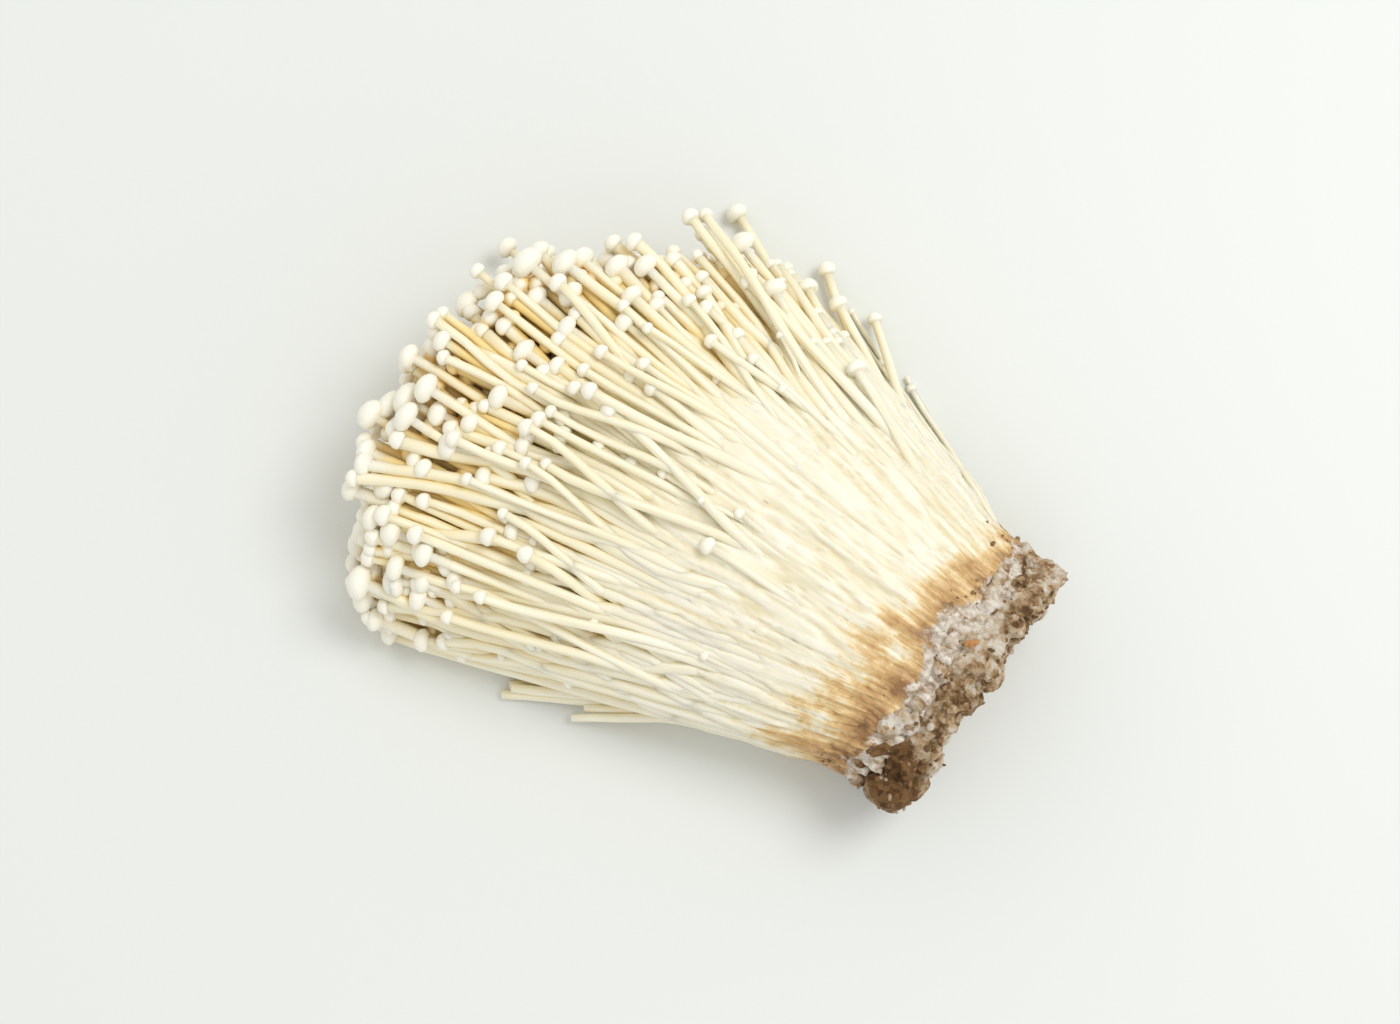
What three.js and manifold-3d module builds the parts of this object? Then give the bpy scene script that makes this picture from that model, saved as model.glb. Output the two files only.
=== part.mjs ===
// A bunch of enoki mushrooms lying on its side, in millimetres, +Z up.
// A crumbly plug of growing substrate stands at one end. The stems grow out of it fused into one
// white mass, then part and fan out, and each ends in a small round cap.
// +X runs from the substrate to the caps. The origin is on the surface, under the middle of the bunch.
import * as THREE from "three";
import { mergeVertices } from "three/addons/utils/BufferGeometryUtils.js";
import Module from "manifold-3d";

const wasm = await Module();
wasm.setup();

// ---- driving dimensions ----------------------------------------------------
const CRUST_LENGTH = 18; // the substrate plug, along X
const FUSED_END = 50; // where the fused stem bases part, from the plug's back face
const LONGEST_REACH = 147; // plug's back face to the centre of the furthest cap
const PLUG_HALF_WIDTH = 31.5;
const PLUG_HALF_HEIGHT = 21;
const PLUG_CENTRE_HEIGHT = 19; // a little under the half height: the underside is pressed flat
const FAN_WIDENING = 0.33; // half width gained per millimetre along X
const FAN_SKEW = 0.045; // how far the fan leans to +Y, per millimetre along X
const FAN_HEIGHT = 40; // highest stem above lowest stem, where the bunch has settled on the surface
const STEM_RADIUS = 1.15;
const CAP_RADIUS = { least: 1.9, most: 4.3 };
const CLEARANCE = 0.35; // between neighbouring pieces

const JOINED_COUNT = 118; // mushrooms inside the bunch, joined with the fused bases in one solid
const SEPARATE_COUNT = 47; // mushrooms round the outside, each one a piece of its own

// ---- the shape of the fan --------------------------------------------------
// (p, q) is a place across the bunch, in a disc of radius 1: p towards +Y, q upwards.
const { lerp, smoothstep } = THREE.MathUtils;

function halfWidth(x) {
  return PLUG_HALF_WIDTH + FAN_WIDENING * Math.max(0, x - CRUST_LENGTH);
}

function centreY(x) {
  return 1 + FAN_SKEW * x;
}

// At the plug the cross-section is an upright oval; further on it has slumped to a dome with a flat foot.
function heightAt(x, p, q, lowest) {
  const upright = PLUG_CENTRE_HEIGHT + PLUG_HALF_HEIGHT * q;
  const slumped = lowest + (FAN_HEIGHT / 2) * (q + Math.sqrt(Math.max(0, 1 - p * p)));
  return lerp(upright, slumped, smoothstep(x, CRUST_LENGTH, LONGEST_REACH * 0.75));
}

function across(x, p, q) {
  return new THREE.Vector3(x, centreY(x) + halfWidth(x) * p, Math.max(0, heightAt(x, p, q, 0)));
}

// The furthest cap on each line of the fan: long in the middle, shorter to both sides.
function reach(p) {
  const shortOnRight = 60 * Math.max(0, -0.15 - p);
  const shortOnLeft = 36 * Math.max(0, p - 0.2) ** 1.5;
  return LONGEST_REACH - shortOnRight - shortOnLeft;
}

// ---- where each mushroom grows ---------------------------------------------
// Sunflower order spreads the places evenly; the plastic-number sequence varies length and cap size.
const GOLDEN_ANGLE = Math.PI * (3 - Math.sqrt(5));
const fraction = (value) => value - Math.floor(value);
const vary = (index, step) => fraction(0.5 + index * step);
const LENGTH_STEP = 0.7548776662;
const CAP_STEP = 0.5698402910;
const DRIFT_STEP = 0.8191725134;

function grownMushroom(index, count) {
  const rim = Math.sqrt((index + 0.5) / count);
  const p = 0.97 * rim * Math.cos(index * GOLDEN_ANGLE);
  const q = 0.97 * rim * Math.sin(index * GOLDEN_ANGLE);
  const share = 0.78 + 0.22 * vary(index, LENGTH_STEP) ** 0.7;
  return {
    rootP: p,
    rootQ: q,
    tipP: p + 0.1 * (vary(index, DRIFT_STEP) - 0.5),
    tipQ: q,
    tipX: reach(p) * share,
    capRadius: lerp(CAP_RADIUS.least, CAP_RADIUS.most, vary(index, CAP_STEP) * share ** 2),
  };
}

// Mushrooms that have come loose and lie on the surface beside the fan: where each one leaves the
// fused bases, p at its tip, its length, and its cap.
const STRAYS = [
  { rootP: -0.8, rootQ: -0.62, tipP: -1.0, tipX: 111, capRadius: 2.7 },
  { rootP: -0.66, rootQ: -0.8, tipP: -0.93, tipX: 99, capRadius: 2.2 },
  { rootP: -0.9, rootQ: -0.46, tipP: -1.16, tipX: 89, capRadius: 2.2 },
  { rootP: -1.01, rootQ: -0.14, tipP: -1.24, tipX: 74, capRadius: 1.9 },
  { rootP: -0.25, rootQ: -0.98, tipP: -0.33, tipX: 147, capRadius: 2.8 },
  { rootP: -0.32, rootQ: -0.94, tipP: -0.4, tipX: 141, capRadius: 2.6 },
  { rootP: 0.72, rootQ: -0.72, tipP: 1.0, tipX: 117, capRadius: 2.6 },
];

// Stems that lost their caps when the bunch was picked, in the same terms.
const CUT_STEMS = [
  { rootP: 0.93, rootQ: -0.4, tipP: 1.1, tipX: 87 },
  { rootP: 0.84, rootQ: -0.58, tipP: 1.06, tipX: 87 },
  { rootP: 1.0, rootQ: -0.1, tipP: 1.15, tipX: 74 },
];

const onTheSurface = (place) => ({ tipQ: -0.6, capRadius: 0, ...place });

// ---- how the mushrooms push one another aside ------------------------------
// Each stem is followed through a row of planes across the bunch. In every plane, stems and caps
// that crowd each other move apart and stay above the surface, and each stem stays smooth.
const PLANE_STEP = 4;
const PLANES = Array.from({ length: 27 }, (_, k) => FUSED_END + k * PLANE_STEP);
const ROUNDS = 160;
const STIFFNESS = 0.25;

function layOut(mushroom) {
  const lineAt = (x) => {
    const t = (x - FUSED_END) / (mushroom.tipX - FUSED_END);
    const p = lerp(mushroom.rootP, mushroom.tipP, t);
    const q = lerp(mushroom.rootQ, mushroom.tipQ, t);
    return { y: centreY(x) + halfWidth(x) * p, z: heightAt(x, p, q, STEM_RADIUS) };
  };
  const capFrom = mushroom.tipX - mushroom.capRadius - PLANE_STEP / 2;
  const capTo = mushroom.tipX + mushroom.capRadius + PLANE_STEP / 2;
  mushroom.stations = PLANES.filter((x) => x < capTo).map((x) => ({
    x,
    ...lineAt(x),
    radius: x > capFrom ? Math.max(STEM_RADIUS, mushroom.capRadius) : STEM_RADIUS,
  }));
  return mushroom;
}

function pushApart(a, b) {
  const dy = b.y - a.y;
  const dz = b.z - a.z;
  const distance = Math.hypot(dy, dz) || 0.001;
  const overlap = a.radius + b.radius + 2 * CLEARANCE - distance;
  if (overlap <= 0) return;
  const half = (0.5 * overlap) / distance;
  a.y -= dy * half;
  a.z -= dz * half;
  b.y += dy * half;
  b.z += dz * half;
}

function straighten(stations) {
  for (let k = 1; k < stations.length; k++) {
    const before = stations[k - 1];
    const here = stations[k];
    const after = stations[k + 1] ?? { y: 2 * here.y - before.y, z: 2 * here.z - before.z };
    here.y += STIFFNESS * (before.y + after.y - 2 * here.y);
    here.z += STIFFNESS * (before.z + after.z - 2 * here.z);
  }
}

function settle(mushrooms) {
  for (let round = 0; round < ROUNDS; round++) {
    if (round < ROUNDS - 30) mushrooms.forEach((m) => straighten(m.stations));
    for (let k = 0; k < PLANES.length; k++) {
      const here = mushrooms.filter((m) => m.stations[k]).map((m) => m.stations[k]);
      here.forEach((a, i) => here.slice(i + 1).forEach((b) => pushApart(a, b)));
      here.forEach((a) => (a.z = Math.max(a.radius + CLEARANCE / 2, a.z)));
    }
  }
}

// ---- solids ----------------------------------------------------------------
function solidOf(geometry) {
  const bare = geometry.index ? geometry.toNonIndexed() : geometry.clone();
  bare.deleteAttribute("normal");
  bare.deleteAttribute("uv");
  const merged = mergeVertices(bare, 1e-4);
  return new wasm.Manifold(
    new wasm.Mesh({
      numProp: 3,
      vertProperties: merged.attributes.position.array,
      triVerts: new Uint32Array(merged.index.array),
    }),
  );
}

function geometryOf(solid) {
  const { numProp, numVert, vertProperties, triVerts } = solid.getMesh();
  const position = new Float32Array(numVert * 3);
  for (let i = 0; i < numVert; i++) {
    position.set(vertProperties.subarray(i * numProp, i * numProp + 3), i * 3);
  }
  const geometry = new THREE.BufferGeometry();
  geometry.setAttribute("position", new THREE.BufferAttribute(position, 3));
  geometry.setIndex(new THREE.BufferAttribute(triVerts, 1));
  geometry.computeVertexNormals();
  return geometry;
}

// A many-sided circle, the section of a stem.
function circle(radius, sides) {
  const corner = (i) => {
    const angle = (2 * Math.PI * i) / sides;
    return new THREE.Vector2(radius * Math.cos(angle), radius * Math.sin(angle));
  };
  return new THREE.Shape(Array.from({ length: sides }, (_, i) => corner(i)));
}

// Half the section of a cap, from its underside to its crown, on a radius of 1.
const CAP_PROFILE = [
  [0, -0.25],
  [0.7, -0.4],
  [1, 0],
  [0.72, 0.55],
  [0, 0.8],
].map(([r, height]) => new THREE.Vector2(r, height));

function mushroomSolid(mushroom, rootX, detail) {
  const stemPoints = mushroom.stations
    .filter(({ x }) => x > rootX && x < mushroom.tipX)
    .map(({ x, y, z }) => new THREE.Vector3(x, y, z));
  const root = mushroom.stations[0];
  stemPoints.unshift(new THREE.Vector3(rootX, root.y, root.z));
  const path = new THREE.CatmullRomCurve3(stemPoints, false, "centripetal");
  const stem = solidOf(
    new THREE.ExtrudeGeometry(circle(STEM_RADIUS, detail.stemSides), {
      extrudePath: path,
      steps: Math.ceil((mushroom.tipX - rootX) / detail.stepLength),
      bevelEnabled: false,
    }),
  );
  if (!mushroom.capRadius) return stem;
  const cap = new THREE.LatheGeometry(CAP_PROFILE, detail.capSides);
  cap.scale(mushroom.capRadius, mushroom.capRadius, mushroom.capRadius);
  const facing = path.getTangent(1);
  cap.applyQuaternion(new THREE.Quaternion().setFromUnitVectors(new THREE.Vector3(0, 1, 0), facing));
  cap.translate(...path.getPoint(1).toArray());
  return stem.add(solidOf(cap));
}

// A block of the bunch's own cross-section from one X to another, its sides roughened by ripple.
function block(fromX, toX, rings, sides, inset, ripple) {
  const drum = new THREE.CylinderGeometry(1, 1, toX - fromX, sides, rings);
  drum.rotateZ(-Math.PI / 2);
  drum.translate((fromX + toX) / 2, 0, 0);
  const position = drum.getAttribute("position");
  for (let i = 0; i < position.count; i++) {
    const [x, q, p] = [position.getX(i), position.getY(i), position.getZ(i)];
    const angle = Math.atan2(q, p);
    const rim = Math.hypot(p, q);
    const size = 1 - inset + ripple(x, angle) * rim;
    const placed = across(x, -p * size, q * size);
    position.setXYZ(i, placed.x, placed.y, placed.z);
  }
  return solidOf(drum);
}

// ---- materials -------------------------------------------------------------
function matt(name, color, roughness) {
  return new THREE.MeshStandardMaterial({ name, color, roughness, metalness: 0 });
}

const mushroomFlesh = matt("mushroom_flesh", 0xf4ecd2, 0.45);
const fusedFlesh = matt("fused_flesh", 0xf1e6c8, 0.6);
const substrate = matt("substrate", 0x9c8468, 0.95);

// ---- the pieces ------------------------------------------------------------
const bunch = new THREE.Group();

function addPiece(name, solid, material) {
  const mesh = new THREE.Mesh(geometryOf(solid), material);
  mesh.name = name;
  bunch.add(mesh);
}

const numbered = (name, index) => `${name}_${String(index + 1).padStart(2, "0")}`;

const total = JOINED_COUNT + SEPARATE_COUNT;
const grown = Array.from({ length: total }, (_, index) => layOut(grownMushroom(index, total)));
const strays = STRAYS.map((stray) => layOut(onTheSurface(stray)));
const cutStems = CUT_STEMS.map((stem) => layOut(onTheSurface(stem)));
settle([...grown, ...strays, ...cutStems]);

const joined = grown.slice(0, JOINED_COUNT);
const separate = grown.slice(JOINED_COUNT);
const FINE = { stemSides: 6, stepLength: 17, capSides: 7 };
const PLAIN = { stemSides: 4, stepLength: 30, capSides: 5 };
const firstFreeX = FUSED_END + CLEARANCE + STEM_RADIUS / 2; // the cut end leans with its stem

// The plug of spent sawdust and bran that filled the bottle's mouth.
const crumbly = (x, angle) =>
  0.022 * Math.sin(7 * angle + 0.5 * x) + 0.018 * Math.sin(13 * angle - 0.9 * x);
addPiece("substrate_plug", block(0, CRUST_LENGTH - CLEARANCE, 4, 32, 0.02, crumbly), substrate);

// The stem bases, fused in one mass, with the mushrooms inside the bunch joined on.
const fluted = (x, angle) => 0.012 * Math.sin(11 * angle);
const fusedBases = block(CRUST_LENGTH, FUSED_END, 4, 32, 0, fluted);
const innerMushrooms = joined.map((m) => mushroomSolid(m, FUSED_END - 3, PLAIN));
addPiece("fused_stem_clump", wasm.Manifold.union([fusedBases, ...innerMushrooms]), fusedFlesh);

separate.forEach((m, i) => addPiece(numbered("mushroom", i), mushroomSolid(m, firstFreeX, FINE), mushroomFlesh));
strays.forEach((m, i) => addPiece(numbered("stray_mushroom", i), mushroomSolid(m, firstFreeX, FINE), mushroomFlesh));
cutStems.forEach((m, i) => addPiece(numbered("cut_stem", i), mushroomSolid(m, firstFreeX, FINE), mushroomFlesh));

// The origin goes under the middle of the bunch, on the surface it lies on.
const extent = new THREE.Box3().setFromObject(bunch);
const middle = extent.getCenter(new THREE.Vector3());
bunch.position.set(-middle.x, -middle.y, -extent.min.z);

export default bunch;
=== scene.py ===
import math
import random

import bmesh
import bpy
import numpy as np
from mathutils import Matrix, Vector, noise


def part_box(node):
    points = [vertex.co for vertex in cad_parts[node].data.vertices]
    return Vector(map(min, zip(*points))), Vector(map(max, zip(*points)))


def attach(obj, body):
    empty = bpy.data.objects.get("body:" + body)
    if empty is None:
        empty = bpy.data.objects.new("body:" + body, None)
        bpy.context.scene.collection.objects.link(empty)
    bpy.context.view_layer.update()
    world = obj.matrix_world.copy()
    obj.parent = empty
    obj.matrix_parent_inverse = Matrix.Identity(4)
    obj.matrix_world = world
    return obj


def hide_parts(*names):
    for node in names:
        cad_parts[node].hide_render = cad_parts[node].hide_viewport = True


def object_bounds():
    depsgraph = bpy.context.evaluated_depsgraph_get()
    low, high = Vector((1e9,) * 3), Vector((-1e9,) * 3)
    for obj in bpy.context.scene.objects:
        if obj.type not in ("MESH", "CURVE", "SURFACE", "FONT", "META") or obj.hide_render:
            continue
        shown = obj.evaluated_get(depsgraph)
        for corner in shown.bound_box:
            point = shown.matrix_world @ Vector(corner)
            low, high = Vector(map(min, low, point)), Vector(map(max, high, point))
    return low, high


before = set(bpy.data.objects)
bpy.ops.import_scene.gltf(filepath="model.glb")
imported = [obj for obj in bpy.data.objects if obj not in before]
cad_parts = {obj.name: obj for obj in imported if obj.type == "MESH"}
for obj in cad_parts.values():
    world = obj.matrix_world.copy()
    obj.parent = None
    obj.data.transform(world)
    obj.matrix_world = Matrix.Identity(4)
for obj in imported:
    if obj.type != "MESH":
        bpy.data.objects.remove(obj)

cad_low, cad_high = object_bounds()
MM = 0.001

# ==== the plug of growing medium ====================================================
# Spent sawdust and bran from the neck of the growing bottle, bound by grey-white
# mycelium. It was broken off the rest when the bunch was picked, so its faces are torn
# and crumbly. It is pressed a little flat where it lies.

plug_low, plug_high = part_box("substrate_plug")
PLUG_LENGTH = plug_high.x - plug_low.x
PLUG_MIDDLE_Y = (plug_low.y + plug_high.y) / 2
PLUG_HALF_WIDTH = 0.98 * (plug_high.y - plug_low.y) / 2
PLUG_HALF_HEIGHT = 21 * MM
PLUG_MIDDLE_HEIGHT = 19 * MM
FAN_WIDENING = 0.33  # half width gained per length beyond the plug
FAN_LEAN = 0.045  # the whole fan's drift towards +Y, per length
FAN_HEIGHT = 40 * MM
SLUMP_LENGTH = 92 * MM  # from the plug, until the bunch lies settled on the surface

CORE_FROM = plug_low.x + 3.5 * MM  # the solid body of the plug, which chunks and lumps stand out of
CORE_TO = plug_high.x - 3 * MM
CORE_SIZE = 0.94
CHUNK_SEAT = plug_low.x + 4.5 * MM
RIM_FROM = plug_low.x + 2.5 * MM  # the lumps sit between these two, or on the back
RIM_TO = plug_high.x - 4.5 * MM
RIM_SIZE = 0.98
PLUG_GRAIN = 0.55 * MM
PLUG_LUMPS = 420
LUMP_RADIUS = (0.7 * MM, 2.8 * MM)
ON_THE_BACK = 0.45  # share of the lumps
SWELLS = 11 * MM  # how wide the swells, the grains and the grit of a torn face are
GRAINS = 2.6 * MM
GRIT = 0.9 * MM
HOLLOW_DEPTH = 2.2 * MM  # how deep a dip must be to be painted fully darker, as painted shade in the hollows
BROKEN_BACK = [  # across, up and size in mm, of the chunks that stand out of the broken back
    (-29, 20, 4), (-24, 29, 4), (-23, 12, 4.5), (-16, 22, 4.5), (-13, 8, 4), (-3, 27, 6), (-4, 14, 5),
    (3, 20, 6), (10, 31, 4), (12, 12, 4.5), (19, 24, 6), (25, 17, 7), (29, 24, 5.5), (24, 6, 5),
]
DAMP_CORNER = (5 * MM, 27 * MM, 8 * MM)  # from the back, across from the middle, and how far it spreads
CRUMB_COUNT = 520
CRUMB_LENGTH = (0.5 * MM, 2.1 * MM)
BRAN_SHARD = (10.5 * MM, -4.8 * MM, 4.6 * MM)  # from the back, across from the middle, and its length
SHARD_CHIPS = 5
SHARD_SHADE = 1.15  # sawdust runs from 0 to 1, dark to pale, and the orange bran is above it


def blend(a, b, share):
    return a + (b - a) * share


def ease(value, start, end):
    share = np.clip((value - start) / (end - start), 0, 1)
    return share * share * (3 - 2 * share)


def section(x):
    """The bunch's cross-section at x: its middle in Y, its half width, and how far it has slumped."""
    middle = PLUG_MIDDLE_Y + FAN_LEAN * (x - plug_low.x - PLUG_LENGTH / 2)
    half_width = PLUG_HALF_WIDTH + FAN_WIDENING * np.maximum(0, x - plug_high.x)
    return middle, half_width, ease(x, plug_high.x, plug_high.x + SLUMP_LENGTH)


def across(x, p, q):
    """Y and Z of a place in the cross-section: p to the side and q upwards, from -1 to 1."""
    middle, half_width, slumped = section(x)
    upright = PLUG_MIDDLE_HEIGHT + PLUG_HALF_HEIGHT * q
    settled = FAN_HEIGHT / 2 * (q + np.sqrt(np.clip(1 - p * p, 0, 1)))
    return middle + half_width * p, blend(upright, settled, slumped)


def place_in(x, y, z):
    """The p and q of a point, the reverse of across()."""
    middle, half_width, slumped = section(x)
    p = (y - middle) / half_width
    foot = blend(PLUG_MIDDLE_HEIGHT, FAN_HEIGHT / 2 * np.sqrt(np.clip(1 - p * p, 0, 1)), slumped)
    return p, (z - foot) / blend(PLUG_HALF_HEIGHT, FAN_HEIGHT / 2, slumped)


def drum(bm, start, end, size, rings=6, sides=48):
    """A closed block of the bunch's own cross-section between two X."""
    lying = Matrix.Rotation(math.pi / 2, 4, "Y")
    bmesh.ops.create_cone(
        bm, cap_ends=True, segments=sides, radius1=1, radius2=1, depth=1, matrix=lying
    )
    lengthwise = [e for e in bm.edges if abs(e.verts[0].co.x - e.verts[1].co.x) > 0.5]
    bmesh.ops.subdivide_edges(bm, edges=lengthwise, cuts=rings)
    for v in bm.verts:
        x = blend(start, end, v.co.x + 0.5)
        y, z = across(x, size * v.co.y, size * v.co.z)
        v.co = (x, y, max(0, z))


def mesh_of(bm, name):
    """The bmesh as a mesh; the bmesh itself is done with."""
    mesh = bpy.data.meshes.new(name)
    bm.to_mesh(mesh)
    bm.free()
    return mesh


def grown_together(bm, grain, smoothing):
    """Every closed shape in the bmesh as one skin, its creases filled."""
    body = bpy.data.objects.new("rough", mesh_of(bm, "rough"))
    bpy.context.scene.collection.objects.link(body)
    remesh = body.modifiers.new("skin", "REMESH")
    remesh.mode = "VOXEL"
    remesh.voxel_size = grain
    smooth = body.modifiers.new("creases", "SMOOTH")
    smooth.iterations = smoothing
    skin = bpy.data.meshes.new_from_object(body.evaluated_get(bpy.context.evaluated_depsgraph_get()))
    bpy.data.objects.remove(body)
    return skin


def roughen(mesh, swell):
    """Moves each vertex along its normal by swell(position), in metres."""
    moved = [v.co + v.normal * swell(v.co) for v in mesh.vertices]
    for v, place in zip(mesh.vertices, moved):
        v.co = (place.x, place.y, max(0, place.z))
    mesh.update()


def set_attribute(mesh, name, kind, values):
    layer = mesh.attributes.new(name, kind, "POINT")
    layer.data.foreach_set("vector" if kind == "FLOAT_VECTOR" else "value", np.ravel(values))


def finish_piece(name, mesh, material, slot, *nodes):
    """A piece of the bunch: it lies where its mesh lies, and it rides with the whole bunch."""
    for polygon in mesh.polygons:
        polygon.use_smooth = True
    mesh.materials.clear()
    mesh.materials.append(material)
    piece = bpy.data.objects.new(name, mesh)
    bpy.context.scene.collection.objects.link(piece)
    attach(piece, "root")
    if nodes:
        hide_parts(*nodes)
    return piece


def paint(red, green, blue):
    """A colour as the eye names it, 0 to 255, in the shader's linear light."""
    shares = [channel / 255 for channel in (red, green, blue)]
    linear = [((c + 0.055) / 1.055) ** 2.4 if c > 0.04 else c / 12.92 for c in shares]
    return (*linear, 1)


def new_finish(name):
    material = bpy.data.materials.new(name)
    material.use_nodes = True
    nodes = material.node_tree.nodes
    return material, nodes, nodes["Principled BSDF"]


def wire(nodes, kind, sockets, **settings):
    """A shader node of this kind, its sockets filled with values or linked to other nodes."""
    made = nodes.new("ShaderNode" + kind)
    for name, value in settings.items():
        setattr(made, name, value)
    for socket, value in sockets.items():
        if isinstance(value, bpy.types.NodeSocket):
            made.id_data.links.new(value, made.inputs[socket])
        else:
            made.inputs[socket].default_value = value
    return made


def attribute(nodes, name, output="Fac"):
    """What the mesh's attribute of this name holds at each point."""
    return wire(nodes, "Attribute", {}, attribute_name=name).outputs[output]


def own_place(nodes):
    """Where on the piece a point lies, in metres."""
    return wire(nodes, "TexCoord", {}).outputs["Object"]


def link(source, shader, socket):
    shader.id_data.links.new(source, shader.inputs[socket])


def mottle(nodes, where, scale, detail=4.0, roughness=0.6):
    """Soft noise from 0 to 1, scale in patches per metre."""
    sockets = {"Vector": where, "Scale": scale, "Detail": detail, "Roughness": roughness}
    return wire(nodes, "TexNoise", sockets).outputs["Fac"]


def between(nodes, value, low, high):
    """0 below low and 1 above high."""
    sockets = {"Value": value, "From Min": low, "From Max": high}
    return wire(nodes, "MapRange", sockets, clamp=True).outputs["Result"]


def plus(nodes, value, other, share):
    """The first value and this share of the other one."""
    return wire(nodes, "Math", {0: other, 1: share, 2: value}, operation="MULTIPLY_ADD").outputs[0]


def tint(nodes, share, first, second):
    """The first colour where share is 0, the second where it is 1."""
    return wire(nodes, "Mix", {0: share, 6: first, 7: second}, data_type="RGBA").outputs[2]


def bump(nodes, shader, height, depth):
    raised = wire(nodes, "Bump", {"Height": height, "Distance": depth, "Strength": 1.0})
    link(raised.outputs["Normal"], shader, "Normal")


def ramp(nodes, value, *stops):
    """Colours from one stop to the next, each stop a place from 0 to 1 and a colour."""
    made = wire(nodes, "ValToRGB", {"Fac": value})
    while len(made.color_ramp.elements) < len(stops):
        made.color_ramp.elements.new(0.5)
    for element, (place, colour) in zip(made.color_ramp.elements, stops):
        element.position, element.color = place, colour
    return made.outputs["Color"]


def medium_finish():
    """Crumbs of sawdust in every brown, half hidden under grey-white mycelium felt."""
    material, nodes, shader = new_finish("growing_medium")
    where = own_place(nodes)
    hollow_shade = attribute(nodes, "hollow_shade")
    grains = wire(nodes, "TexVoronoi", {"Vector": where, "Scale": 800.0, "Randomness": 1.0})
    grain_tone = wire(nodes, "SeparateColor", {"Color": grains.outputs["Color"]}).outputs["Red"]
    cover = plus(nodes, mottle(nodes, where, 380.0, 6.0, 0.7), mottle(nodes, where, 110.0, 2.0), 0.7)
    cover = plus(nodes, cover, grain_tone, 0.2)
    # painted shade: the hollows of the torn faces are painted darker, towards the brown of the sawdust
    cover = plus(nodes, cover, hollow_shade, -0.5)
    colour = ramp(
        nodes, between(nodes, cover, 0.46, 1.02),
        (0.0, paint(98, 74, 48)), (0.2, paint(142, 113, 78)), (0.42, paint(184, 156, 120)),
        (0.62, paint(200, 184, 160)), (0.8, paint(212, 202, 186)), (1.0, paint(228, 221, 208)),
    )
    damp = attribute(nodes, "damp")
    damp = between(nodes, plus(nodes, damp, mottle(nodes, where, 190.0, 6.0, 0.7), 2.2), 1.45, 1.75)
    colour = tint(nodes, damp, colour, tint(nodes, grain_tone, paint(84, 58, 32), paint(134, 100, 62)))
    link(colour, shader, "Base Color")
    shader.inputs["Roughness"].default_value = 0.92
    shader.inputs["Specular IOR Level"].default_value = 0.25
    rough = plus(nodes, mottle(nodes, where, 1500.0), grains.outputs["Distance"], 0.6)
    bump(nodes, shader, rough, 0.5 * MM)
    return material


def crumb_finish():
    material, nodes, shader = new_finish("loose_sawdust")
    tone = attribute(nodes, "tone")
    where = own_place(nodes)
    colour = tint(nodes, between(nodes, tone, 0.0, 0.6), paint(84, 58, 34), paint(168, 130, 86))
    colour = tint(nodes, between(nodes, tone, 0.6, 1.0), colour, paint(214, 200, 178))
    colour = tint(nodes, mottle(nodes, where, 2200.0), colour, paint(120, 88, 56))
    colour = tint(nodes, between(nodes, tone, 1.1, 1.2), colour, paint(196, 138, 80))
    link(colour, shader, "Base Color")
    shader.inputs["Roughness"].default_value = 0.9
    bump(nodes, shader, mottle(nodes, where, 3000.0), 0.15 * MM)
    return material


def on_the_rim(chance):
    """A random place on the plug's torn faces: its side or its back."""
    turn = chance.uniform(0, 2 * math.pi)
    if chance.random() < ON_THE_BACK:
        x, size = RIM_FROM, math.sqrt(chance.random())
    else:
        x, size = chance.uniform(RIM_FROM, RIM_TO), RIM_SIZE
    y, z = across(x, size * math.cos(turn), size * math.sin(turn))
    return Vector((x, float(y), max(0.0, float(z))))


def make_plug():
    chance = random.Random(11)
    bm = bmesh.new()
    drum(bm, CORE_FROM, CORE_TO, CORE_SIZE)
    for across_mm, up_mm, size_mm in BROKEN_BACK:
        seat = (CHUNK_SEAT, PLUG_MIDDLE_Y + across_mm * MM, up_mm * MM)
        size = Matrix.Diagonal((size_mm * MM, 0.9 * size_mm * MM, 0.8 * size_mm * MM, 1))
        bmesh.ops.create_icosphere(bm, subdivisions=3, radius=1, matrix=Matrix.Translation(seat) @ size)
    for _ in range(PLUG_LUMPS):
        place = Matrix.Translation(on_the_rim(chance))
        angle = chance.uniform(0, math.pi)
        turn = Matrix.Rotation(angle, 4, Vector((chance.random(), chance.random(), 1)))
        size = chance.uniform(*LUMP_RADIUS)
        squash = Matrix.Diagonal((size, size * chance.uniform(0.5, 1), size * chance.uniform(0.4, 0.9), 1))
        bmesh.ops.create_icosphere(bm, subdivisions=2, radius=1, matrix=place @ turn @ squash)
    skin = grown_together(bm, PLUG_GRAIN, 2)

    def torn(place):
        heaved = 1.1 * noise.fractal(place / SWELLS, 1.0, 2.0, 3)
        grains = 0.9 * (noise.voronoi(place / GRAINS)[0][0] - 0.35)
        fine = 0.35 * noise.noise(place / GRIT)
        return MM * (heaved - grains + fine)

    heights = [torn(v.co) for v in skin.vertices]
    roughen(skin, torn)
    # painted shade: how far each point lies down in the hollows, for painting them darker
    set_attribute(skin, "hollow_shade", "FLOAT", [min(1, max(0, 0.45 - h / HOLLOW_DEPTH)) for h in heights])
    from_back, aside, spread = DAMP_CORNER
    corner = Vector((plug_low.x + from_back, PLUG_MIDDLE_Y + aside))
    away = [(v.co.xy - corner).length for v in skin.vertices]
    set_attribute(skin, "damp", "FLOAT", [1 - ease(d, 0.2 * spread, 1.7 * spread) for d in away])
    return finish_piece("torn_plug", skin, medium_finish(), "substrate", "substrate_plug")


def add_flake(bm, seat, angle, axis, size, shade):
    """A flattened grain of sawdust."""
    tone = bm.verts.layers.float["tone"]
    shape = Matrix.Translation(seat) @ Matrix.Rotation(angle, 4, axis) @ Matrix.Diagonal((*size, 1))
    for v in bmesh.ops.create_icosphere(bm, subdivisions=1, radius=1, matrix=shape)["verts"]:
        v.co.z = max(0, v.co.z)
        v[tone] = shade


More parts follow.
